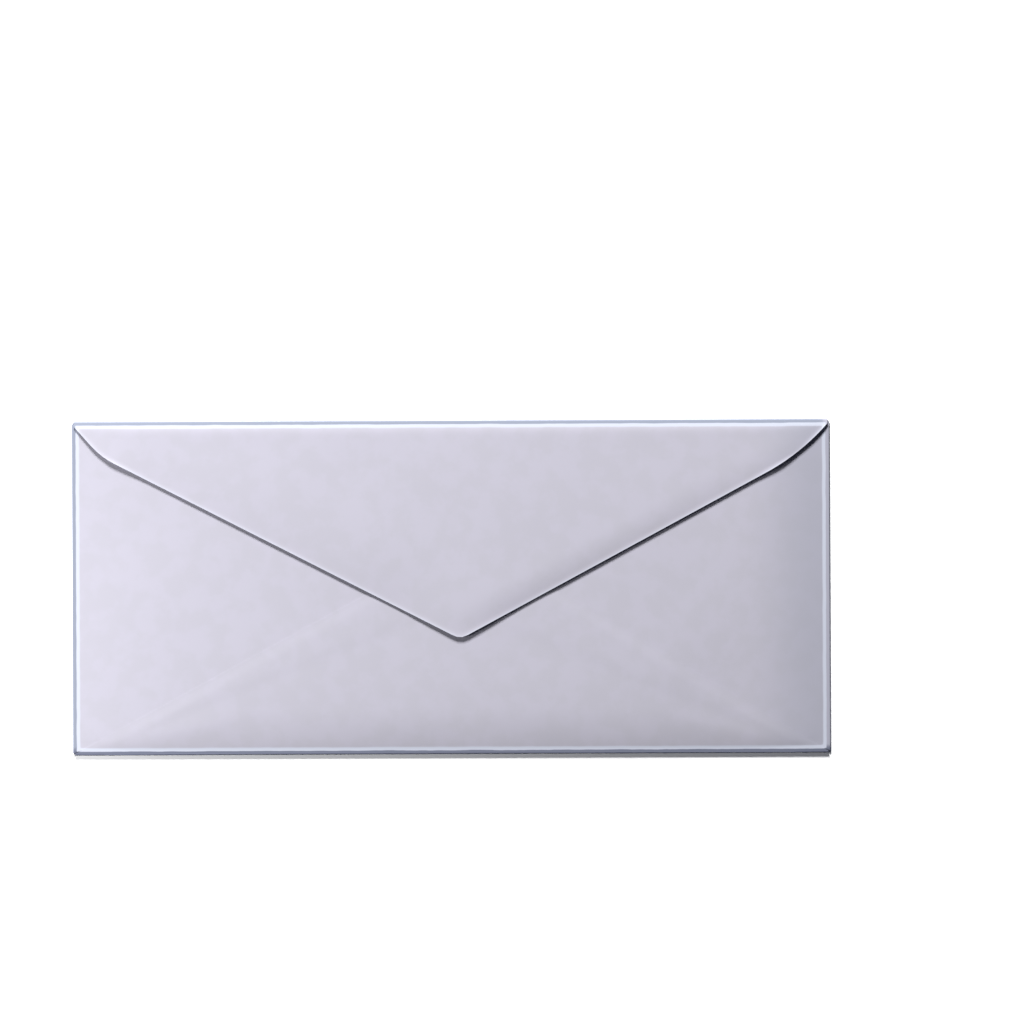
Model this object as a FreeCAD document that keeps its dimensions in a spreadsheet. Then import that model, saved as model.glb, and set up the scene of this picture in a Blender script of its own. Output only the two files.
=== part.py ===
import FreeCAD, Part

import math
import os

import Sketcher
from FreeCAD import Placement, Rotation, Vector

# A commercial paper envelope with diagonal seams, empty and closed, lying on its front.
# It is one sheet of paper: a front panel with a flap folded in from each of its four sides.
# The two side flaps go in first, the bottom flap is gummed over them along its two slanting edges,
# and the pointed top flap is folded down over the lot, not stuck. All four folds are pressed flat.
# The origin is the middle of the face that it lies on. +X runs along it to the right as the
# pointed flap is read, +Y to the fold of that flap, and +Z up, out of the back.

# The driving sizes, in millimetres, apart from the two shares of the crown.
SIZES = [
    ("length", 241.3, "overall, from side fold to side fold"),
    ("width", 106.3, "overall, from bottom fold to top fold"),
    ("caliper", 0.12, "thickness of the paper"),
    ("fold_gap", 0.3, "inside height of the pocket at a side fold"),
    ("gum_bite", 0.02, "how far a gummed seam beds into the paper under it"),
    ("corner_gap", 0.4, "clearance between two folds that meet at a corner"),
    ("pressed_lip", 1.3, "width of the flat lip along every fold"),
    ("crown_height", 0.76, "how far the back stands up in its middle"),
    ("crown_run_side", 63.0, "distance from a side lip over which the back rises"),
    ("crown_run_bottom", 60.0, "distance from the bottom lip over which it rises"),
    ("crown_run_top", 90.0, "distance from the top lip over which it rises"),
    ("bottom_roll_run", 13.0, "width of the steeper roll beside the bottom lip"),
    ("bottom_roll_share", 0.9, "share of the crown that this roll takes"),
    ("top_roll_run", 3.2, "width of the steeper roll beside the top lip"),
    ("top_roll_share", 0.15, "share of the crown that this roll takes"),
    ("side_flap_reach", 105.0, "from the side fold to the end of a side flap"),
    ("side_flap_rise", 51.3, "from the bottom fold to the middle of that end"),
    ("side_flap_end", 16.5, "length of that end before its corners are rounded"),
    ("side_flap_radius", 6.0, "rounding of its two corners"),
    ("seam_depth", 68.7, "from the bottom fold to the sharp point of the bottom flap"),
    ("seam_point_offset", 6.0, "that point to the right of the middle"),
    ("seam_point_radius", 12.0, "rounding of that point"),
    ("flap_depth", 69.65, "from the top fold to the sharp point of the top flap"),
    ("flap_point_offset", 2.9, "that point to the right of the middle"),
    ("flap_point_radius", 4.5, "rounding of that point"),
    ("flap_end", 1.5, "straight end of the top flap under its fold"),
    ("shoulder_inset", 9.45, "from the side fold in to the corner of a shoulder"),
    ("shoulder_drop", 11.3, "from the top fold down to the corner of a shoulder"),
    ("shoulder_radius_left", 25.0, "rounding of the left shoulder"),
    ("shoulder_radius_right", 70.0, "rounding of the right shoulder"),
    ("flap_lift", 0.26, "gap under the top flap"),
    ("flap_lift_run", 3.0, "distance from the top fold over which that gap opens"),
    ("flap_arch", 0.44, "extra rise of the top flap inside its slanting edges"),
    ("flap_arch_run", 69.0, "distance from the top fold over which it arches"),
    ("strip_left", 24.0, "width of the slope beside the left slanting edge"),
    ("strip_right", 8.3, "width of the slope beside the right slanting edge"),
    ("shoulder_lift", 0.55, "how much further the flap springs up about its shoulders"),
    ("shoulder_run", 18.0, "distance from a shoulder over which that fades"),
    ("tip_lift", 0.28, "how much further it springs up about its point"),
    ("tip_run", 26.0, "distance from the point over which that fades"),
]

# How the rises ease off: 2 is a plain round bend, and nearer 1 is a straight slope with a late bend.
ROUND_EASE = 2.0
SIDE_EASE = 1.5
BOTTOM_EASE = 1.4
TOP_EASE = 1.0
# How sharply two slopes meet in a ridge: higher is sharper.
RIDGE_POWER = 5.0

# The curved surfaces are ruled finely along the folds and more widely further in. Each number is how
# many marks go to the narrowest bend that the surface has to follow there.
MARKS_PER_ROLL = 4
MARKS_PER_BACK_BEND = 2
MARKS_PER_FLAP_BEND = 2.5
MARK_GROWTH = 1.35
DEGREE = 3

# How much of a wall an arc in its corner may take up: all but a sliver of it, or not quite half
# where the corner at the wall's other end is rounded too.
WHOLE_WALL = 0.95
HALF_WALL = 0.47

# How near two points are for them to be the same corner, in millimetres.
SAME_POINT = 0.01

# Outside radius of each fold, and where its bend begins, from the sizes.
SIDE_RADIUS = "(sizes.fold_gap / 2 + sizes.caliper)"
BOTTOM_RADIUS = "((sizes.fold_gap + 3 * sizes.caliper - sizes.gum_bite) / 2)"
TOP_RADIUS = "((sizes.fold_gap + 4 * sizes.caliper - sizes.gum_bite) / 2)"
FOLD_X = f"(sizes.length / 2 - {SIDE_RADIUS})"
LOW_FOLD_Y = f"({BOTTOM_RADIUS} - sizes.width / 2)"
HIGH_FOLD_Y = f"(sizes.width / 2 - {TOP_RADIUS})"
END_X = f"({FOLD_X} - sizes.corner_gap)"
LOW_END_Y = f"({LOW_FOLD_Y} + sizes.corner_gap)"
HIGH_END_Y = f"({HIGH_FOLD_Y} - sizes.corner_gap)"


def size_sheet(doc):
    sheet = doc.addObject("Spreadsheet::Sheet", "sizes")
    for row, (alias, value, note) in enumerate(SIZES, start=1):
        sheet.set(f"A{row}", str(value))
        sheet.setAlias(f"A{row}", alias)
        sheet.set(f"B{row}", note)
    doc.recompute()
    return sheet


def bind(item, **expressions):
    for name, expression in expressions.items():
        item.setExpression(name, expression)


def place(item, x, y, z):
    for axis, expression in zip("xyz", (x, y, z)):
        item.setExpression(f"Placement.Base.{axis}", expression)


def front_panel(doc):
    panel = doc.addObject("Part::Box", "front_panel")
    bind(panel, Length=f"2 * {FOLD_X}", Width=f"{HIGH_FOLD_Y} - {LOW_FOLD_Y}", Height="sizes.caliper")
    place(panel, f"-{FOLD_X}", LOW_FOLD_Y, "0")
    return panel


def half_tube(doc, name, radius, run, frame, x, y):
    """A fold: half of a thin tube, with frame giving its own axes, the second one pointing outwards."""
    cylinders = []
    for part, size in (("outside", radius), ("inside", f"{radius} - sizes.caliper")):
        cylinder = doc.addObject("Part::Cylinder", f"{name}_{part}")
        cylinder.Angle = 180
        bind(cylinder, Radius=size, Height=run)
        cylinder.Placement = Placement(Vector(), Rotation(*frame))
        place(cylinder, x, y, radius)
        cylinders.append(cylinder)
    fold = doc.addObject("Part::Cut", name)
    fold.Base, fold.Tool = cylinders
    return fold


def folds(doc):
    right, up, away = Vector(1, 0, 0), Vector(0, 0, 1), Vector(0, 1, 0)
    side_run = f"{HIGH_END_Y} - {LOW_END_Y}"
    end_run = f"2 * {END_X}"
    return [
        half_tube(doc, "left_fold", SIDE_RADIUS, side_run, (-up, -right, away), f"-{FOLD_X}", LOW_END_Y),
        half_tube(doc, "right_fold", SIDE_RADIUS, side_run, (up, right, away), FOLD_X, LOW_END_Y),
        half_tube(doc, "bottom_fold", BOTTOM_RADIUS, end_run, (up, -away, right), f"-{END_X}", LOW_FOLD_Y),
        half_tube(doc, "top_fold", TOP_RADIUS, end_run, (-up, away, right), f"-{END_X}", HIGH_FOLD_Y),
    ]


def outline(doc, name, corners, rounding):
    """A tall block with the outline of a flap, given by its corners. rounding names the rounded ones.

    Each of those comes with its radius, and with the share of its walls that it may take up.
    """
    body = doc.addObject("PartDesign::Body", name)
    sketch = body.newObject("Sketcher::SketchObject", f"{name}_sketch")
    plane = [item for item in body.Origin.OriginFeatures if item.Role == "XY_Plane"][0]
    sketch.AttachmentSupport = (plane, [""])
    sketch.MapMode = "FlatFace"
    points = [Vector(*(sketch.evalExpression(size) for size in corner)) for corner in corners]
    count = len(corners)
    for index, start in enumerate(points):
        sketch.addGeometry(Part.LineSegment(start, points[(index + 1) % count]))
    for index in range(count):
        sketch.addConstraint(Sketcher.Constraint("Coincident", index, 2, (index + 1) % count, 1))
    for index, (across, along) in enumerate(corners):
        for kind, value, word, size in (
            ("DistanceX", points[index].x, "across", across),
            ("DistanceY", points[index].y, "along", along),
        ):
            number = sketch.addConstraint(Sketcher.Constraint(kind, index, 1, value))
            sketch.renameConstraint(number, f"{word}_{index}")
            sketch.setExpression(f"Constraints.{word}_{index}", size)
    pad = body.newObject("PartDesign::Pad", f"{name}_block")
    pad.Profile = sketch
    bind(pad, Length="sizes.width")
    doc.recompute()
    for index, (radius, share) in rounding.items():
        limit = largest_radius(sketch, index, share)
        round_corner(doc, body, sketch, index, f"min({radius} * 1 mm; {limit})")
    return body, sketch


def largest_radius(sketch, index, share):
    """The radius of the arc in a corner that takes up share of the shorter of its two walls."""

    def wall(start, end):
        sides = []
        for word in ("across", "along"):
            place = f"{sketch.Name}.Constraints.{word}"
            sides.append(f"({place}_{end} - {place}_{start})")
        return sides

    (in_x, in_y), (out_x, out_y) = wall(index - 1, index), wall(index, index + 1)
    run_in, run_out = f"hypot({in_x}; {in_y})", f"hypot({out_x}; {out_y})"
    turn = f"abs({in_x} * {out_y} - {in_y} * {out_x})"
    onward = f"({run_in} * {run_out} + {in_x} * {out_x} + {in_y} * {out_y})"
    return f"{share} * min({run_in}; {run_out}) * {onward} / {turn}"


def round_corner(doc, body, sketch, index, radius):
    corner = sketch.getPoint(index, 1)
    base = body.Tip
    found = [
        f"Edge{number}"
        for number, edge in enumerate(base.Shape.Edges, start=1)
        if all(math.hypot(v.X - corner.x, v.Y - corner.y) < SAME_POINT for v in edge.Vertexes)
    ]
    fillet = body.newObject("PartDesign::Fillet", f"{body.Name}_round_{index}")
    fillet.Base = (base, found)
    bind(fillet, Radius=radius)
    doc.recompute()


def side_flap_outline(doc, name, side):
    """The outline of one side flap. side is "-" on the left and "" on the right."""
    fold = f"{side}{FOLD_X}"
    past_fold = f"{side}({FOLD_X} + {SIDE_RADIUS})"
    end = f"{side}(sizes.length / 2 - sizes.side_flap_reach)"
    middle = "(sizes.side_flap_rise - sizes.width / 2)"
    corners = [
        (past_fold, LOW_END_Y),
        (fold, LOW_END_Y),
        (end, f"{middle} - sizes.side_flap_end / 2"),
        (end, f"{middle} + sizes.side_flap_end / 2"),
        (fold, HIGH_END_Y),
        (past_fold, HIGH_END_Y),
    ]
    rounded = ("sizes.side_flap_radius", HALF_WALL)
    return outline(doc, name, corners, {2: rounded, 3: rounded})[0]


def bottom_flap_outline(doc):
    corners = [
        (f"-{END_X}", f"{LOW_FOLD_Y} - {BOTTOM_RADIUS}"),
        (f"-{END_X}", LOW_FOLD_Y),
        ("sizes.seam_point_offset", "sizes.seam_depth - sizes.width / 2"),
        (END_X, LOW_FOLD_Y),
        (END_X, f"{LOW_FOLD_Y} - {BOTTOM_RADIUS}"),
    ]
    return outline(doc, "bottom_flap_outline", corners, {2: ("sizes.seam_point_radius", WHOLE_WALL)})[0]


def top_flap_outline(doc):
    end_y = "sizes.width / 2 - sizes.flap_end"
    shoulder_x = "(sizes.length / 2 - sizes.shoulder_inset)"
    shoulder_y = "sizes.width / 2 - sizes.shoulder_drop"
    corners = [
        (f"-{END_X}", f"{HIGH_FOLD_Y} + {TOP_RADIUS}"),
        (f"-{END_X}", end_y),
        (f"-{shoulder_x}", shoulder_y),
        ("sizes.flap_point_offset", "sizes.width / 2 - sizes.flap_depth"),
        (shoulder_x, shoulder_y),
        (END_X, end_y),
        (END_X, f"{HIGH_FOLD_Y} + {TOP_RADIUS}"),
    ]
    rounding = {
        2: ("sizes.shoulder_radius_left", WHOLE_WALL),
        3: ("sizes.flap_point_radius", HALF_WALL),
        4: ("sizes.shoulder_radius_right", WHOLE_WALL),
    }
    return outline(doc, "top_flap_outline", corners, rounding)


def eased(distance, run, power=ROUND_EASE):
    """From 0 at an edge to 1 at run away from it, and level from there on."""
    left = min(max(1 - distance / run, 0.0), 1.0)
    return 1 - left**power


def back_height(sizes, panel):
    """How far the back stands above its own folds at a point."""
    low, high = panel.Placement.Base.y, panel.Placement.Base.y + panel.Width.Value
    reach = panel.Length.Value / 2

    def rolled(away, run, ease, roll, share):
        """A long slope, with a steeper roll beside the fold that takes its share of the rise."""
        return (1 - share) * eased(away, run, ease) + share * eased(away, roll)

    def height(x, y):
        edges = (reach - abs(x), y - low, high - y)
        from_side, from_bottom, from_top = (away - sizes.pressed_lip for away in edges)
        side = eased(from_side, sizes.crown_run_side, SIDE_EASE)
        bottom = rolled(
            from_bottom, sizes.crown_run_bottom, BOTTOM_EASE, sizes.bottom_roll_run, sizes.bottom_roll_share
        )
        top = rolled(from_top, sizes.crown_run_top, TOP_EASE, sizes.top_roll_run, sizes.top_roll_share)
        short = sum((1 - rise) ** RIDGE_POWER for rise in (side, bottom, top)) ** (1 / RIDGE_POWER)
        return sizes.crown_height * max(1 - short, 0.0)

    return height


def smoothed(value):
    value = min(max(value, 0.0), 1.0)
    return value * value * (3 - 2 * value)


def flap_height(sizes, panel, sketch):
    """The same for the top flap: it stands off the back, arches, and springs up at its three corners."""
    high = panel.Placement.Base.y + panel.Width.Value
    under = back_height(sizes, panel)
    left, point, right = (sketch.getPoint(index, 1) for index in (2, 3, 4))

    def inside(x, y, start, end):
        """Distance of a point from the slanting edge through start and end, to its upper side."""
        along = (end - start).normalize()
        return along.x * (y - start.y) - along.y * (x - start.x)

    def height(x, y):
        from_fold = high - y
        arch = eased(inside(x, y, left, point), sizes.strip_left)
        arch *= eased(inside(x, y, point, right), sizes.strip_right)
        from_shoulder = min(math.hypot(x - corner.x, y - corner.y) for corner in (left, right))
        from_point = math.hypot(x - point.x, y - point.y)
        rise = sizes.flap_arch * arch
        rise += sizes.shoulder_lift * smoothed(1 - from_shoulder / sizes.shoulder_run)
        rise += sizes.tip_lift * smoothed(1 - from_point / sizes.tip_run)
        gap = sizes.flap_lift * eased(from_fold, sizes.flap_lift_run)
        return under(x, y) + gap + rise * eased(from_fold, sizes.flap_arch_run)

    return height


def graded_marks(low, run, fine, wide):
    """Marks over a run from low, with a fine spacing at both ends that grows to a wide one."""
    marks, step = [0.0], fine
    while marks[-1] + step < run / 2:
        marks.append(marks[-1] + step)
        step = min(step * MARK_GROWTH, wide)
    marks = [mark * run / 2 / marks[-1] for mark in marks]
    return [low + mark for mark in marks] + [low + run - mark for mark in reversed(marks[:-1])]


def curved_layer(doc, name, panel, fold_radius, height, *spacing):
    """Paper of one caliper over the front panel, level with the top of its fold, then raised by height.

    spacing is the finest and the widest spacing of its marks.
    """
    low = panel.Placement.Base
    spans = ((low.x, panel.Length.Value), (low.y, panel.Width.Value))
    knots = [graded_marks(*span, *spacing) for span in spans]
    places = []
    for marks in knots:
        full = [marks[0]] * DEGREE + marks + [marks[-1]] * DEGREE
        places.append([sum(full[i + 1 : i + 1 + DEGREE]) / DEGREE for i in range(len(full) - DEGREE - 1)])
    poles = [[Vector(x, y, height(x, y)) for y in places[1]] for x in places[0]]
    counts = [[DEGREE + 1] + [1] * (len(marks) - 2) + [DEGREE + 1] for marks in knots]
    surface = Part.BSplineSurface()
    surface.buildFromPolesMultsKnots(poles, *counts, *knots, False, False, DEGREE, DEGREE)
    layer = doc.addObject("Part::Feature", name)
    layer.Shape = Part.Face(surface).extrude(Vector(0, 0, panel.Height.Value))
    place(layer, "0", "0", f"2 * {fold_radius} - sizes.caliper")
    return layer


def cut_flap(doc, name, layer, block):
    flap = doc.addObject("Part::Common", name)
    flap.Base, flap.Tool = layer, block
    return flap


def check(doc, sheet):
    for item in doc.Objects:
        if {"Invalid", "Error"} & set(item.State):
            raise RuntimeError(f"{item.Name} could not be built: {item.State}")
    shape = sheet.Shape
    if shape.isNull() or not shape.isValid() or len(shape.Solids) != 1:
        raise RuntimeError("the envelope is not one valid solid")


def main():
    doc = FreeCAD.newDocument("envelope")
    sizes = size_sheet(doc)
    panel = front_panel(doc)
    bends = folds(doc)
    doc.recompute()

    left_block = side_flap_outline(doc, "left_flap_outline", "-")
    right_block = side_flap_outline(doc, "right_flap_outline", "")
    bottom_block = bottom_flap_outline(doc)
    top_block, top_sketch = top_flap_outline(doc)

    fine = sizes.top_roll_run / MARKS_PER_ROLL
    back = back_height(sizes, panel), fine, sizes.bottom_roll_run / MARKS_PER_BACK_BEND
    flap = flap_height(sizes, panel, top_sketch), fine, sizes.strip_right / MARKS_PER_FLAP_BEND
    side_layer = curved_layer(doc, "side_layer", panel, SIDE_RADIUS, *back)
    bottom_layer = curved_layer(doc, "bottom_layer", panel, BOTTOM_RADIUS, *back)
    top_layer = curved_layer(doc, "top_layer", panel, TOP_RADIUS, *flap)

    flaps = [
        cut_flap(doc, "left_flap", side_layer, left_block),
        cut_flap(doc, "right_flap", side_layer, right_block),
        cut_flap(doc, "bottom_flap", bottom_layer, bottom_block),
        cut_flap(doc, "top_flap", top_layer, top_block),
    ]
    sheet = doc.addObject("Part::MultiFuse", "folded_sheet")
    sheet.Label = "envelope_sheet"
    sheet.Shapes = [panel, *bends, *flaps]
    doc.recompute()
    check(doc, sheet)

    os.makedirs("parts", exist_ok=True)
    sheet.Shape.exportStep(f"parts/{sheet.Label}.step")
    box = sheet.Shape.BoundBox
    print(f"{sheet.Label}: {box.XLength:.2f} x {box.YLength:.2f} x {box.ZLength:.2f} mm", end=", ")
    print(f"{sheet.Shape.Volume:.0f} mm3, {len(sheet.Shape.Faces)} faces")


main()
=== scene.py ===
import math

import bmesh
import bpy
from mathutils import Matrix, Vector, noise


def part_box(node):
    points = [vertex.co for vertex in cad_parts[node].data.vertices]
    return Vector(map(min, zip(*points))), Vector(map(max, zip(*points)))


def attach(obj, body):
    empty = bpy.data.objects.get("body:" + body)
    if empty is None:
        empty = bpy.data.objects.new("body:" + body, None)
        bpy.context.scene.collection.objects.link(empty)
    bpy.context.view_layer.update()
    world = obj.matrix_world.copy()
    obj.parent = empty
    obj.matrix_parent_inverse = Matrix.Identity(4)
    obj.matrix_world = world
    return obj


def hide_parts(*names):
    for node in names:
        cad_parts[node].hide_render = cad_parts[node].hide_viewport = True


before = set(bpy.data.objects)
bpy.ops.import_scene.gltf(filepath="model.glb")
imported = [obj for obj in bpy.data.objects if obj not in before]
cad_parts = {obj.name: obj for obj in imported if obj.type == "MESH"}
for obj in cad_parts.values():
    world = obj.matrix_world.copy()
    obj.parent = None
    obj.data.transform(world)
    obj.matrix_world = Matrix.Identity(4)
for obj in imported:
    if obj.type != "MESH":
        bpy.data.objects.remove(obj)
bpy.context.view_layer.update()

mm = 0.001


def eased(distance, run, power=2.0):
    # 0 at an edge, 1 at run away from it and beyond, with the bend spread over the run
    return 1 - min(max(1 - distance / run, 0.0), 1.0) ** power


def smooth(value):
    value = min(max(value, 0.0), 1.0)
    return value * value * (3 - 2 * value)


# Camera. The photograph looks straight down, so the lens is long and only the framing is measured.
view = {
    "pixelsPerPicture": 1024,
    "middlePixel": (451.1, 587.1),     # where the middle of the envelope shows
    "lengthPixels": 757.4,             # how long the envelope shows
    "turn": 0.25,                      # degrees that the envelope is turned anticlockwise
    "height": 1.3,                     # metres above the floor
    "sensor": 36.0,
}


def makeCamera():
    low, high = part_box("envelope_sheet")
    perPixel = (high.x - low.x) / view["lengthPixels"]
    half = view["pixelsPerPicture"] / 2
    right = (half - view["middlePixel"][0]) * perPixel
    up = (view["middlePixel"][1] - half) * perPixel
    turn = math.radians(view["turn"])
    data = bpy.data.cameras.new("topView")
    data.sensor_width = view["sensor"]
    data.lens = view["sensor"] * view["height"] / (view["pixelsPerPicture"] * perPixel)
    camera = bpy.data.objects.new("topView", data)
    camera.location = (
        right * math.cos(turn) + up * math.sin(turn),
        up * math.cos(turn) - right * math.sin(turn),
        view["height"],
    )
    camera.rotation_euler = (0, 0, -turn)
    bpy.context.scene.collection.objects.link(camera)
    bpy.context.scene.camera = camera
    print("camera above", [round(v, 4) for v in camera.location])


# The folded sheet. Lengths in millimetres. The overall length and width come from the frame.
envelope = {
    "paper": 0.12,                     # thickness
    "pocketGap": 0.3,                  # inside height of the pocket at a side fold
    "gumFilm": 0.004,                  # between a gummed flap and the paper under it
    "cornerGap": 0.4,                  # between two folds that meet at a corner
    "crown": 0.76,                     # how far the back stands up
    "sideRun": 63.0,                   # distances from the folds over which it rises
    "bottomRun": 60.0,
    "topRun": 90.0,
    "sideEase": 1.5,                   # 2 is a round bend, nearer 1 a straight slope with a late bend
    "bottomEase": 1.4,
    "topEase": 1.0,
    "bottomRoll": 13.0,                # steeper rolls beside two of the folds, and their share of the rise
    "bottomRollShare": 0.9,
    "topRoll": 3.2,
    "topRollShare": 0.15,
    "ridgePower": 5.0,                 # sharpness of the ridges between the slopes
    "pressed": 1.3,                    # flat lip pressed along every fold
    "sideReach": 105.0,                # side flaps
    "sideRise": 51.3,
    "sideEnd": 16.5,
    "sideRadius": 6.0,
    "sideLean": 0.001,                 # of their ends, which roundedLine can't take upright
    "seamDepth": 68.7,                 # bottom flap
    "seamPoint": 6.0,
    "seamRadius": 12.0,
    "seamStart": 0.25,                 # height of the bottom flap where its seams start
    "flapDepth": 69.65,                # top flap
    "flapPoint": 2.9,
    "flapRadius": 4.5,
    "flapEnd": 1.5,
    "shoulderIn": 9.45,
    "shoulderDrop": 11.3,
    "shoulderLeft": 25.0,
    "shoulderRight": 70.0,
    "lift": 0.26,                      # gap under the top flap, and how far from its fold it opens
    "liftRun": 3.0,
    "arch": 0.44,                      # rise of the top flap inside its slanting edges
    "archRun": 69.0,                   # distance from the top fold over which it rises
    "strips": (24.0, 8.3),             # width of the slope beside its left and its right edge
    "curl": 0.09,                      # upturn of its cut edge, and how far in that starts
    "curlRun": 1.5,
    "shoulderLift": 0.55,              # how much more it stands off at its shoulders
    "shoulderRun": 18.0,
    "shoulderCurl": 2.2,               # and how much more its edge curls there
    "tipLift": 0.28,                   # how much more it stands off at its point
    "tipRun": 26.0,
    "drape": 0.04,                     # how far the bottom flap sinks beside a side flap under it
    "drapeRun": 4.0,
    "drapeLead": 0.2,                  # share of that run that lies over the side flap
    "seamPress": 0.07,                 # how far its gummed seams are pressed down
    "seamPressRun": 4.0,               # distance from a seam over which that fades
    "seamPressLag": 0.3,               # share of that run left unpressed at the bottom fold
    "cockle": 0.05,                    # height and length of the slow waves in the paper
    "cockleLength": 26.0,
    "cockleFade": 8.0,                 # distance from a fold over which they begin
}

# How finely the sheet is divided: spacing at an edge and in the middle, in millimetres.
fineness = {
    "acrossFine": 0.45,
    "acrossWide": 1.75,
    "alongFine": 0.45,
    "alongWide": 2.3,
    "growth": 1.3,
    "foldSteps": 8,
    "topRows": 60,
    "bottomRows": 46,
    "rowFine": 0.3,                    # spacing of rows at an edge and in the middle, against even rows
    "rowWide": 1.25,
    "sameDigits": 5,                   # decimals to which two patches share a point
    "sharpAngle": 50,                  # degrees from which an edge is shaded sharp
}


def graded(start, end, fine, wide, bothEnds=True):
    # stations from start to end, closer together at start, and at end too if bothEnds
    run = abs(end - start) * (0.5 if bothEnds else 1.0)
    marks = [0.0]
    step = fine
    while marks[-1] + step < run:
        marks.append(marks[-1] + step)
        step = min(step * fineness["growth"], wide)
    sign = 1 if end > start else -1
    marks = [sign * mark * run / marks[-1] for mark in marks]
    if not bothEnds:
        return [start + mark for mark in marks]
    return [start + mark for mark in marks] + [end - mark for mark in reversed(marks[:-1])]


def gradedRows(count):
    # shares of the way up a flap
    return graded(0, 1, fineness["rowFine"] / count, fineness["rowWide"] / count)


def roundedLine(points, radii):
    # a line through points, as y for a given x, with its corners rounded to the radii
    arcs = []
    for before, corner, after, radius in zip(points, points[1:], points[2:], radii):
        into = (Vector(corner) - Vector(before)).normalized()
        out = (Vector(after) - Vector(corner)).normalized()
        turn = into.x * out.y - into.y * out.x
        reach = radius * math.tan(math.asin(abs(turn)) / 2)
        side = math.copysign(1, turn)
        first = Vector(corner) - into * reach
        last = Vector(corner) + out * reach
        centre = first + Vector((-into.y, into.x)) * radius * side
        arcs.append((first.x, last.x, centre, radius, side))

    def height(x):
        for first, last, centre, radius, side in arcs:
            if first < x < last:
                return centre.y - side * math.sqrt(radius**2 - (x - centre.x) ** 2)
        for (x0, y0), (x1, y1) in zip(points, points[1:]):
            if x <= x1 or x1 == points[-1][0]:
                return y0 + (y1 - y0) * (x - x0) / (x1 - x0)

    return height


def distanceTo(start, end):
    # distance of a point from the line through start and end, to the left of its direction
    along = (Vector(end) - Vector(start)).normalized()
    return lambda x, y: along.x * (y - start[1]) - along.y * (x - start[0])


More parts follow.
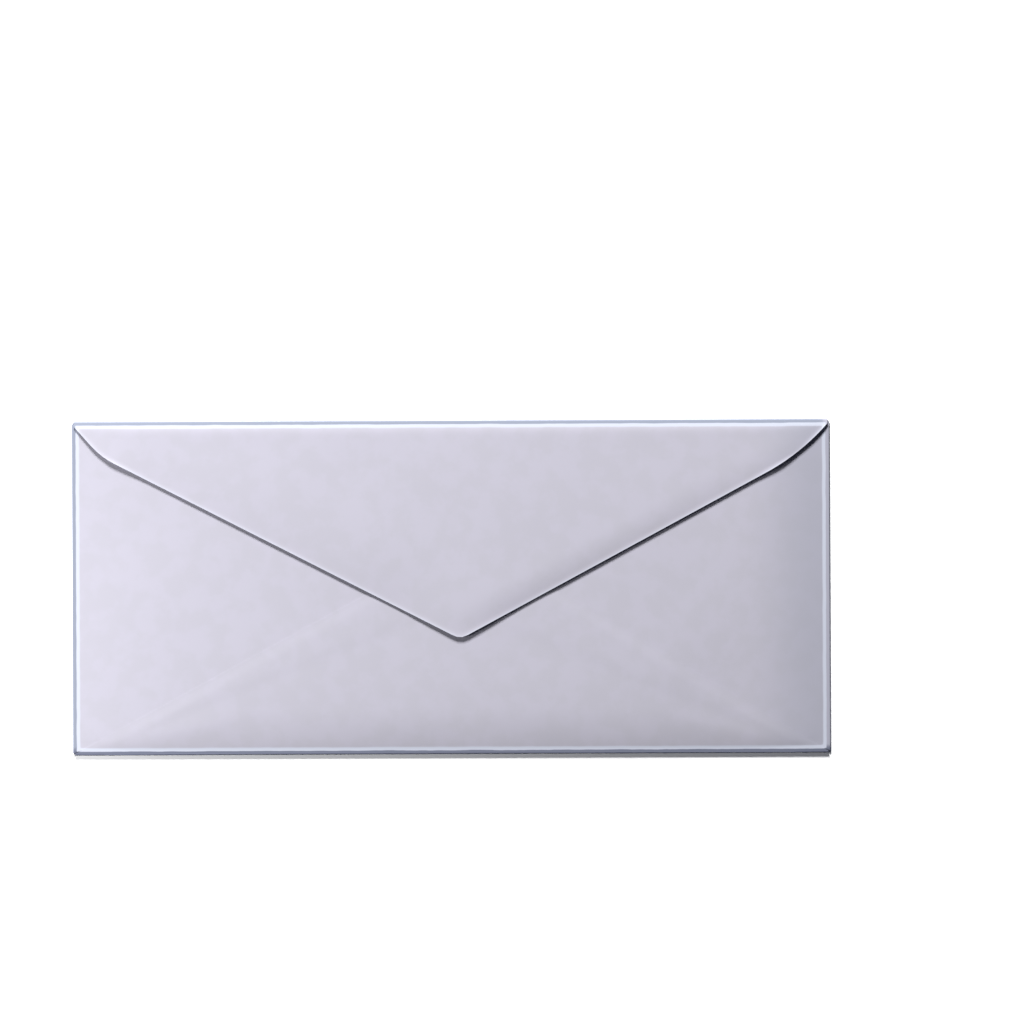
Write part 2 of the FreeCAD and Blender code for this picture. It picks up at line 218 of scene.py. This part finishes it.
class Sheet:
    # the places and shapes that follow from the sizes, in millimetres
    def __init__(self):
        size = envelope
        low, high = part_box("envelope_sheet")
        self.halfLength = (high.x - low.x) / 2 / mm
        self.halfWidth = (high.y - low.y) / 2 / mm
        paper = size["paper"]
        self.sideFold = size["pocketGap"] / 2 + paper
        self.bottomFold = self.sideFold + (paper + size["gumFilm"]) / 2
        self.topFold = self.bottomFold + (paper + size["gumFilm"]) / 2
        self.foldX = self.halfLength - self.sideFold
        self.lowY = self.bottomFold - self.halfWidth
        self.highY = self.halfWidth - self.topFold
        self.endX = self.foldX - size["cornerGap"]
        self.lowEnd = self.lowY + size["cornerGap"]
        self.highEnd = self.highY - size["cornerGap"]
        self.acrossX = graded(-self.endX, self.endX, fineness["acrossFine"], fineness["acrossWide"])
        self.alongY = graded(self.lowEnd, self.highEnd, fineness["alongFine"], fineness["alongWide"])

        shoulderX = self.halfLength - size["shoulderIn"]
        shoulderY = self.halfWidth - size["shoulderDrop"]
        flapEnd = self.halfWidth - size["flapEnd"]
        self.flapPoint = (size["flapPoint"], self.halfWidth - size["flapDepth"])
        self.shoulders = ((-shoulderX, shoulderY), (shoulderX, shoulderY))
        flapCorners = [
            (-self.endX, flapEnd),
            self.shoulders[0],
            self.flapPoint,
            self.shoulders[1],
            (self.endX, flapEnd),
        ]
        radii = [size["shoulderLeft"], size["flapRadius"], size["shoulderRight"]]
        self.flapEdge = roundedLine(flapCorners, radii)
        self.flapSides = [distanceTo(a, b) for a, b in zip(flapCorners, flapCorners[1:])]

        start = self.lowY + size["seamStart"]
        seamPoint = (size["seamPoint"], size["seamDepth"] - self.halfWidth)
        seamCorners = [(-self.endX, start), seamPoint, (self.endX, start)]
        self.seamEdge = roundedLine(seamCorners, [size["seamRadius"]])
        self.seamSides = [distanceTo(b, a) for a, b in zip(seamCorners, seamCorners[1:])]

        self.sideEndX = self.halfLength - size["sideReach"]
        middle = size["sideRise"] - self.halfWidth
        self.sideLow = middle - size["sideEnd"] / 2
        self.sideHigh = middle + size["sideEnd"] / 2
        self.sideSeam = distanceTo((-self.foldX, self.lowEnd), (-self.sideEndX, self.sideLow))

    def back(self, x, y):
        # how far the back stands above its own folds
        size = envelope
        fromSide = self.foldX - abs(x) - size["pressed"]
        fromBottom = y - self.lowY - size["pressed"]
        fromTop = self.highY - y - size["pressed"]
        bottom = (1 - size["bottomRollShare"]) * eased(fromBottom, size["bottomRun"], size["bottomEase"])
        bottom += size["bottomRollShare"] * eased(fromBottom, size["bottomRoll"])
        top = (1 - size["topRollShare"]) * eased(fromTop, size["topRun"], size["topEase"])
        top += size["topRollShare"] * eased(fromTop, size["topRoll"])
        rises = (eased(fromSide, size["sideRun"], size["sideEase"]), bottom, top)
        power = size["ridgePower"]
        short = sum((1 - rise) ** power for rise in rises) ** (1 / power)
        nearest = min(fromSide, fromBottom, fromTop)
        wave = noise.noise(Vector((x, y, 0)) / size["cockleLength"]) * size["cockle"]
        return size["crown"] * max(1 - short, 0.0) + wave * smooth(nearest / size["cockleFade"])

    def fromCut(self, x, y):
        # distance from the top flap's cut edge
        return min(side(x, y) for side in self.flapSides)

    def flap(self, x, y):
        # how far the top flap stands above its own fold
        size = envelope
        arch = 1.0
        left, right = size["strips"]
        for side, strip in zip(self.flapSides, (left, left, right, right)):
            arch *= eased(side(x, y), strip)
        nearest = min(math.hypot(x - cornerX, y - cornerY) for cornerX, cornerY in self.shoulders)
        free = smooth(1 - nearest / size["shoulderRun"])
        fromPoint = math.hypot(x - self.flapPoint[0], y - self.flapPoint[1])
        loose = size["shoulderLift"] * free + size["tipLift"] * smooth(1 - fromPoint / size["tipRun"])
        curl = size["curl"] * (1 + size["shoulderCurl"] * free)
        curl *= 1 - eased(self.fromCut(x, y), size["curlRun"])
        fromFold = self.highY - y
        gap = (size["lift"] + curl) * eased(fromFold, size["liftRun"])
        rise = (size["arch"] * arch + loose) * eased(fromFold, size["archRun"])
        return self.back(x, y) + gap + rise

    def sunk(self, x, y):
        # the bottom flap sinks where no side flap lies under it, and is pressed down along its seams
        size = envelope
        beside = -self.sideSeam(-abs(x), y)
        fromSeam = min(side(x, y) for side in self.seamSides)
        press = size["seamPress"] * smooth(1 - fromSeam / size["seamPressRun"])
        press *= smooth((y - self.lowY) / size["seamPressRun"] - size["seamPressLag"])
        return size["drape"] * smooth(beside / size["drapeRun"] + size["drapeLead"]) + press


# Values that the points of the sheet carry, for its materials
pointValues = ("foldDistance", "rightEndShade", "paintedBottomShade", "rightShadeEased", "cutEdgeWearAndHighlight")


def addPatch(bm, known, grid, fromCut=None):
    # faces over a grid of points in millimetres, sharing the vertices that other patches made
    cutEdgeWearAndHighlight = bm.verts.layers.float["cutEdgeWearAndHighlight"]

    def vertex(point):
        key = tuple(round(value, fineness["sameDigits"]) for value in point)
        if key not in known:
            known[key] = bm.verts.new(Vector(point) * mm)
            if fromCut:
                known[key][cutEdgeWearAndHighlight] = 1 - eased(fromCut(point[0], point[1]), paperLook["cutEdgeWearAndHighlightRun"])
        return known[key]

    rows = [[vertex(point) for point in row] for row in grid]
    for low, high in zip(rows, rows[1:]):
        for a, b, c, d in zip(low, high, high[1:], low[1:]):
            if len({a, b, c, d}) == 4:
                bm.faces.new((a, b, c, d))


def overFold(radius):
    # height of the paper that leaves the top of a fold
    return 2 * radius - envelope["paper"] / 2


def foldPoint(radius, share):
    # a fold's section: distance outwards and height, from share 0 on the flap to 1 on the panel
    middle = radius - envelope["paper"] / 2
    angle = math.pi * (0.5 - share)
    return middle * math.cos(angle), radius + middle * math.sin(angle)


def addPanelAndFolds(bm, known, sheet):
    half = envelope["paper"] / 2
    acrossX, alongY = sheet.acrossX, sheet.alongY
    panelX = [-sheet.foldX] + acrossX + [sheet.foldX]
    panelY = [sheet.lowY] + alongY + [sheet.highY]
    addPatch(bm, known, [[(x, y, half) for x in panelX] for y in panelY])

    shares = [step / fineness["foldSteps"] for step in range(fineness["foldSteps"] + 1)]
    top = [foldPoint(sheet.topFold, share) for share in shares]
    addPatch(bm, known, [[(x, sheet.highY + out, z) for out, z in top] for x in acrossX])
    bottom = [foldPoint(sheet.bottomFold, share) for share in reversed(shares)]
    addPatch(bm, known, [[(x, sheet.lowY - out, z) for out, z in bottom] for x in acrossX])
    side = [foldPoint(sheet.sideFold, share) for share in shares]
    addPatch(bm, known, [[(-sheet.foldX - out, y, z) for y in alongY] for out, z in reversed(side)])
    addPatch(bm, known, [[(sheet.foldX + out, y, z) for y in alongY] for out, z in side])
    print("front panel and four folds:", len(bm.faces), "faces")


def addSideFlaps(bm, known, sheet):
    # from the fold to the rounded end
    inner = -sheet.sideEndX

    def edge(foldY, near, far):
        ends = [(-sheet.foldX, foldY), (inner, near), (inner + envelope["sideLean"], far)]
        return roundedLine(ends, [envelope["sideRadius"]])

    lowEdge = edge(sheet.lowEnd, sheet.sideLow, sheet.sideHigh)
    highEdge = edge(sheet.highEnd, sheet.sideHigh, sheet.sideLow)
    spacing = fineness["acrossFine"], fineness["acrossWide"]
    steps = graded(sheet.foldX, sheet.sideEndX, *spacing, bothEnds=False)
    first, last = sheet.alongY[0], sheet.alongY[-1]
    shares = [(y - first) / (last - first) for y in sheet.alongY]
    for sign in (-1, 1):
        columns = []
        for x in steps:
            low, high = lowEdge(-x), highEdge(-x)
            places = [(sign * x, low + (high - low) * share) for share in shares]
            columns.append([(px, py, overFold(sheet.sideFold) + sheet.back(px, py)) for px, py in places])
        addPatch(bm, known, columns if sign < 0 else columns[::-1])
    print("side flaps:", len(bm.faces), "faces so far")


def addBottomFlap(bm, known, sheet):
    # over the side flaps; its first row is the end of its fold
    onFold = overFold(sheet.bottomFold)
    rows = gradedRows(fineness["bottomRows"])
    columns = []
    for x in sheet.acrossX:
        places = [(x, sheet.lowY + (sheet.seamEdge(x) - sheet.lowY) * share) for share in rows]
        columns.append([(px, py, onFold + sheet.back(px, py) - sheet.sunk(px, py)) for px, py in places])
        columns[-1][0] = (x, sheet.lowY, onFold)
    addPatch(bm, known, columns)
    print("bottom flap:", len(bm.faces), "faces so far")


def addTopFlap(bm, known, sheet):
    # over everything; its last row is the end of its fold
    onFold = overFold(sheet.topFold)
    rows = gradedRows(fineness["topRows"])
    columns = []
    for x in sheet.acrossX:
        places = [(x, sheet.highY + (sheet.flapEdge(x) - sheet.highY) * (1 - share)) for share in rows]
        columns.append([(px, py, onFold + sheet.flap(px, py)) for px, py in places])
        columns[-1][-1] = (x, sheet.highY, onFold)
    addPatch(bm, known, columns, sheet.fromCut)
    print("top flap:", len(bm.faces), "faces so far")


def writePointValues(bm, sheet):
    # the bottom fold's painted shade and the right fold's lighter painted shade hold over a fold's outer
    # line and fade out at twice its width
    look = paperLook
    layers = bm.verts.layers.float
    for vertex in bm.verts:
        x, y = vertex.co.x / mm, vertex.co.y / mm
        fromRight = sheet.halfLength - x
        fromBottom = sheet.halfWidth + y
        vertex[layers["foldDistance"]] = min(sheet.halfLength - abs(x), sheet.halfWidth - abs(y))
        # painted shade towards the right end
        vertex[layers["rightEndShade"]] = smooth(1 - (fromRight - look["creaseFade"]) / look["rightEndShadeRun"])
        vertex[layers["paintedBottomShade"]] = smooth(2 - fromBottom / look["creaseStart"])
        vertex[layers["rightShadeEased"]] = look["rightShadeEasedShare"] * smooth(2 - fromRight / look["creaseStart"])


def makeSheet():
    sheet = Sheet()
    bm = bmesh.new()
    for name in pointValues:
        bm.verts.layers.float.new(name)
    known = {}
    addPanelAndFolds(bm, known, sheet)
    addSideFlaps(bm, known, sheet)
    addBottomFlap(bm, known, sheet)
    addTopFlap(bm, known, sheet)
    writePointValues(bm, sheet)
    print("whole sheet:", len(bm.faces), "faces,", len(bm.verts), "points")
    return bm


# Paper. Colours are linear, lengths in millimetres.
paperLook = {
    "colour": (0.590, 0.571, 0.660, 1.0),
    "cloudColour": (0.572, 0.556, 0.633, 1.0),     # where the fibres lie thinner
    "cloudRamp": (0.38, 0.62),         # values of the cloud noise, from the second colour to the first
    "outlineShadeColour": (0.33, 0.36, 0.45, 1.0),      # painted shade: darker outer line of every fold, where it turns away from the light
    "bottomShadeColour": (0.185, 0.20, 0.275, 1.0),     # painted shade: the same line, darker, on the bottom fold, which it stands on and which faces away from the light
    "rightShadeEasedShare": 0.6,                # how much lighter that painted shade line is on the right fold
    "wearAndHighlightColour": (0.68, 0.71, 0.82, 1.0),       # fibres broken along the pressed lip, with a painted highlight where the fold catches the light
    "rightEndShadeColour": (0.40, 0.41, 0.49, 1.0),       # painted shade at the right end
    "rightEndShadeRun": 26.0,                 # how far in it fades out
    "rightEndShadeShare": 0.55,
    "outlineShadeEnd": 1.1,                 # distances from the outside of a fold
    "creaseStart": 1.4,
    "creaseEnd": 2.1,
    "creaseFade": 2.6,
    "uneven": 0.4,                     # how much those distances vary along it
    "cutEdgeWearAndHighlightRun": 1.1,                 # lightened strip along the top flap's cut edge: partly wear, partly a painted highlight where the edge catches the light
    "cutEdgeWearAndHighlight": 0.6,
    "cloudSize": 7.0,                  # formation of the sheet, clear against the light
    "fleckSize": 1.6,
    "fibreLength": 1.3,
    "fibreWidth": 0.22,
    "roughness": (0.76, 0.9),
    "specular": 0.25,
    "relief": 0.006,                   # depth of the surface texture
    "reliefStrength": 0.5,
}

# Raw paper where the sheet is cut, in a greyer colour of its own, made darker still as painted shade at
# the seams and under the top flap's edge
cutPaperAndShadeLook = {
    "colour": (0.35, 0.34, 0.39, 1.0),
    "fleckColour": (0.44, 0.43, 0.47, 1.0),
    "fleckRamp": (0.4, 0.6),           # values of the fleck noise, from the first colour to the second
    "roughness": 0.95,
}

# What the fibre group is made of, and which sizes in paperLook its inputs take
fibreLook = {
    "inputs": {
        "Cloud Size": "cloudSize",
        "Fleck Size": "fleckSize",
        "Fibre Length": "fibreLength",
        "Fibre Width": "fibreWidth",
    },
    "outputs": ("Cloud", "Fleck", "Height"),
    "cloudNoise": (3.0, 0.55),         # detail and roughness of each noise
    "fleckNoise": (2.0, 0.5),
    "strandNoise": (2.0, 0.5),
    "turns": (12, 74, 131),            # degrees between +X and the fibres
    "fleckShare": 0.6,                 # height of the flecks against that of the fibres
}


def addSocket(group, name, direction, value=None):
    socket = group.interface.new_socket(name=name, in_out=direction, socket_type="NodeSocketFloat")
    if value is not None:
        socket.default_value = value


def addMath(tree, operation, first, second=None, third=None):
    node = tree.nodes.new("ShaderNodeMath")
    node.operation = operation
    for socket, value in zip(node.inputs, (first, second, third)):
        if isinstance(value, bpy.types.NodeSocket):
            tree.links.new(value, socket)
        elif value is not None:
            socket.default_value = value
    return node.outputs[0]


def addNoise(tree, vector, detail, roughness):
    node = tree.nodes.new("ShaderNodeTexNoise")
    node.inputs["Scale"].default_value = 1.0
    node.inputs["Detail"].default_value = detail
    node.inputs["Roughness"].default_value = roughness
    tree.links.new(vector, node.inputs["Vector"])
    return node.outputs["Fac"]


def makeFibreGroup():
    # paper fibre: clouds of thin and thick places, flecks, and fine fibres lying every way
    group = bpy.data.node_groups.new("paperFibre", "ShaderNodeTree")
    for name, size in fibreLook["inputs"].items():
        addSocket(group, name, "INPUT", paperLook[size])
    for name in fibreLook["outputs"]:
        addSocket(group, name, "OUTPUT")
    nodes, links = group.nodes, group.links
    inlet = nodes.new("NodeGroupInput")
    outlet = nodes.new("NodeGroupOutput")
    place = nodes.new("ShaderNodeTexCoord")
    millimetres = nodes.new("ShaderNodeVectorMath")
    millimetres.operation = "SCALE"
    millimetres.inputs["Scale"].default_value = 1 / mm
    links.new(place.outputs["Object"], millimetres.inputs[0])
    where = millimetres.outputs[0]

    def shrunk(vector, size):
        node = nodes.new("ShaderNodeVectorMath")
        node.operation = "SCALE"
        links.new(vector, node.inputs[0])
        links.new(addMath(group, "DIVIDE", 1.0, size), node.inputs["Scale"])
        return node.outputs[0]

    cloud = addNoise(group, shrunk(where, inlet.outputs["Cloud Size"]), *fibreLook["cloudNoise"])
    fleck = addNoise(group, shrunk(where, inlet.outputs["Fleck Size"]), *fibreLook["fleckNoise"])
    fibres = None
    for turn in fibreLook["turns"]:
        # a noise squeezed across one direction looks like fibres along it
        turned = nodes.new("ShaderNodeVectorRotate")
        turned.rotation_type = "Z_AXIS"
        turned.inputs["Angle"].default_value = math.radians(turn)
        links.new(where, turned.inputs["Vector"])
        parts = nodes.new("ShaderNodeSeparateXYZ")
        links.new(turned.outputs[0], parts.inputs[0])
        joined = nodes.new("ShaderNodeCombineXYZ")
        for axis, size in (("X", "Fibre Length"), ("Y", "Fibre Width")):
            squeezed = addMath(group, "DIVIDE", parts.outputs[axis], inlet.outputs[size])
            links.new(squeezed, joined.inputs[axis])
        links.new(parts.outputs["Z"], joined.inputs["Z"])
        strand = addNoise(group, joined.outputs[0], *fibreLook["strandNoise"])
        fibres = strand if fibres is None else addMath(group, "MAXIMUM", fibres, strand)
    height = addMath(group, "MULTIPLY_ADD", fleck, fibreLook["fleckShare"], fibres)
    for name, value in zip(fibreLook["outputs"], (cloud, fleck, height)):
        links.new(value, outlet.inputs[name])
    return group


def addMix(tree, share, first, second):
    node = tree.nodes.new("ShaderNodeMix")
    node.data_type = "RGBA"
    # its inputs 6 and 7 and its output 2 are the ones for colours
    for socket, value in zip((node.inputs[0], node.inputs[6], node.inputs[7]), (share, first, second)):
        if isinstance(value, bpy.types.NodeSocket):
            tree.links.new(value, socket)
        else:
            socket.default_value = value
    return node.outputs[2]


def addRamp(tree, value, start, end):
    # 0 up to start, 1 from end
    node = tree.nodes.new("ShaderNodeMapRange")
    node.interpolation_type = "SMOOTHSTEP"
    node.inputs["From Min"].default_value = start
    node.inputs["From Max"].default_value = end
    tree.links.new(value, node.inputs["Value"])
    return node.outputs["Result"]


def addLayer(tree, name):
    # one of the pointValues
    node = tree.nodes.new("ShaderNodeAttribute")
    node.attribute_name = name
    return node.outputs["Fac"]


def startMaterial(name, fibreGroup):
    # a material with the fibre group in it, which also gives its relief
    material = bpy.data.materials.new(name)
    material.use_nodes = True
    tree = material.node_tree
    shader = tree.nodes["Principled BSDF"]
    shader.inputs["Specular IOR Level"].default_value = paperLook["specular"]
    fibre = tree.nodes.new("ShaderNodeGroup")
    fibre.node_tree = fibreGroup
    for inlet, size in fibreLook["inputs"].items():
        fibre.inputs[inlet].default_value = paperLook[size]
    bump = tree.nodes.new("ShaderNodeBump")
    bump.inputs["Strength"].default_value = paperLook["reliefStrength"]
    bump.inputs["Distance"].default_value = paperLook["relief"] * mm
    tree.links.new(fibre.outputs["Height"], bump.inputs["Height"])
    tree.links.new(bump.outputs["Normal"], shader.inputs["Normal"])
    return material, tree, shader, fibre


def makePaper(fibreGroup):
    look = paperLook
    material, tree, shader, fibre = startMaterial("envelopePaper", fibreGroup)
    cloud = addRamp(tree, fibre.outputs["Cloud"], *look["cloudRamp"])
    base = addMix(tree, cloud, look["cloudColour"], look["colour"])

    # painted shade over the right end
    rightEndShade = addMath(tree, "MULTIPLY", addLayer(tree, "rightEndShade"), look["rightEndShadeShare"])
    base = addMix(tree, rightEndShade, base, look["rightEndShadeColour"])
    # partly wear, partly painted highlight along the top flap's cut edge
    edgeWearAndHighlight = addMath(tree, "MULTIPLY", addLayer(tree, "cutEdgeWearAndHighlight"), look["cutEdgeWearAndHighlight"])
    base = addMix(tree, edgeWearAndHighlight, base, look["wearAndHighlightColour"])

    # folds: an outer line of painted shade, then a lip of broken fibres with a painted highlight, both
    # uneven along their length
    shift = addMath(tree, "MULTIPLY_ADD", fibre.outputs["Cloud"], -look["uneven"], look["uneven"] / 2)
    distance = addMath(tree, "ADD", addLayer(tree, "foldDistance"), shift)
    # lightened lip: partly broken fibres, partly painted highlight
    inner = addRamp(tree, distance, look["creaseEnd"], look["creaseFade"])
    base = addMix(tree, inner, look["wearAndHighlightColour"], base)
    # painted shade: the fold's outer line is darkened where it turns away from the light
    outer = addRamp(tree, distance, look["outlineShadeEnd"], look["creaseStart"])
    line = addMix(tree, addLayer(tree, "rightShadeEased"), look["outlineShadeColour"], look["colour"])
    # painted shade: darker still along the bottom fold
    line = addMix(tree, addLayer(tree, "paintedBottomShade"), line, look["bottomShadeColour"])
    base = addMix(tree, outer, line, base)
    tree.links.new(base, shader.inputs["Base Color"])

    rough = tree.nodes.new("ShaderNodeMapRange")
    rough.inputs["To Min"].default_value, rough.inputs["To Max"].default_value = look["roughness"]
    tree.links.new(fibre.outputs["Fleck"], rough.inputs["Value"])
    tree.links.new(rough.outputs["Result"], shader.inputs["Roughness"])
    return material


def makeCutPaperAndShade(fibreGroup):
    look = cutPaperAndShadeLook
    material, tree, shader, fibre = startMaterial("envelopeCutPaperAndShade", fibreGroup)
    flecks = addRamp(tree, fibre.outputs["Fleck"], *look["fleckRamp"])
    # painted shade in the cut edges' colour
    base = addMix(tree, flecks, look["colour"], look["fleckColour"])
    tree.links.new(base, shader.inputs["Base Color"])
    shader.inputs["Roughness"].default_value = look["roughness"]
    return material


# Lights, in metres, watts and degrees. Directions are seen from above, anticlockwise from +X.
studio = {
    "key": {"direction": 101, "rise": 22, "distance": 1.55, "size": (0.24, 0.28), "power": 52.0},
    "side": {"direction": 188, "rise": 22, "distance": 0.36, "size": (0.08, 0.08), "power": 0.58},
    "worldColour": (0.84, 0.92, 1.22, 1.0),        # a cool fill in the shadows
    "worldStrength": 0.034,
    "floorSize": 6.0,
    "floorGap": 0.0001,                # between the floor and the envelope
    "floorColour": 0.92,
    "floorSeenColour": 1.6,            # to the camera: the lit floor shows white, its shadows stay
}


def makeLight(name, values):
    data = bpy.data.lights.new(name, "AREA")
    data.shape = "RECTANGLE"
    data.size, data.size_y = values["size"]
    data.energy = values["power"]
    lamp = bpy.data.objects.new(name, data)
    direction = math.radians(values["direction"])
    rise = math.radians(values["rise"])
    level = math.cos(rise)
    towards = Vector((math.cos(direction) * level, math.sin(direction) * level, math.sin(rise)))
    lamp.location = towards * values["distance"]
    lamp.rotation_euler = towards.to_track_quat("Z", "Y").to_euler()
    bpy.context.scene.collection.objects.link(lamp)


def makeFloor():
    mesh = bpy.data.meshes.new("studioFloor")
    edge = studio["floorSize"] / 2
    corners = [(-edge, -edge, 0), (edge, -edge, 0), (edge, edge, 0), (-edge, edge, 0)]
    mesh.from_pydata(corners, [], [(0, 1, 2, 3)])
    floor = bpy.data.objects.new("studioFloor", mesh)
    floor.location.z = -studio["floorGap"]
    bpy.context.scene.collection.objects.link(floor)
    material = bpy.data.materials.new("floorWhite")
    material.use_nodes = True
    tree = material.node_tree
    tree.nodes.remove(tree.nodes["Principled BSDF"])
    diffuse = tree.nodes.new("ShaderNodeBsdfDiffuse")
    path = tree.nodes.new("ShaderNodeLightPath")
    seen = addMath(tree, "MAXIMUM", path.outputs["Is Camera Ray"], path.outputs["Is Glossy Ray"])
    seen = addMath(tree, "MAXIMUM", seen, path.outputs["Is Transmission Ray"])
    more = studio["floorSeenColour"] - studio["floorColour"]
    shade = addMath(tree, "MULTIPLY_ADD", seen, more, studio["floorColour"])
    tree.links.new(shade, diffuse.inputs["Color"])
    tree.links.new(diffuse.outputs[0], tree.nodes["Material Output"].inputs["Surface"])
    mesh.materials.append(material)


def makeStudio():
    makeLight("keyLight", studio["key"])
    makeLight("sideLight", studio["side"])
    world = bpy.data.worlds.new("studioWorld")
    world.use_nodes = True
    background = world.node_tree.nodes["Background"]
    background.inputs["Color"].default_value = studio["worldColour"]
    background.inputs["Strength"].default_value = studio["worldStrength"]
    bpy.context.scene.world = world
    makeFloor()
    print("studio ready")


def finishSheet(bm, materials):
    # the sheet gets its thickness, half of it on each side, and its cut edges the second material
    mesh = bpy.data.meshes.new("foldedSheet")
    bm.to_mesh(mesh)
    bm.free()
    for material in materials:
        mesh.materials.append(material)
    piece = bpy.data.objects.new("foldedSheet", mesh)
    bpy.context.scene.collection.objects.link(piece)
    solidify = piece.modifiers.new("paper", "SOLIDIFY")
    solidify.thickness = envelope["paper"] * mm
    solidify.offset = 0
    solidify.material_offset_rim = 1
    solid = bpy.data.meshes.new_from_object(piece.evaluated_get(bpy.context.evaluated_depsgraph_get()))
    piece.modifiers.clear()
    piece.data = solid
    solid.name = "foldedSheet"
    solid.shade_smooth()
    solid.set_sharp_from_angle(angle=math.radians(fineness["sharpAngle"]))
    print("solid sheet:", sum(len(p.vertices) - 2 for p in solid.polygons), "triangles")
    return piece


scene = bpy.context.scene
scene.view_settings.view_transform = "Standard"
makeCamera()
makeStudio()
sheetMesh = makeSheet()
paperFibre = makeFibreGroup()
paperMaterials = [makePaper(paperFibre), makeCutPaperAndShade(paperFibre)]
print("materials ready:", ", ".join(material.name for material in paperMaterials))
foldedSheet = finishSheet(sheetMesh, paperMaterials)
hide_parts("envelope_sheet")
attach(foldedSheet, "root")
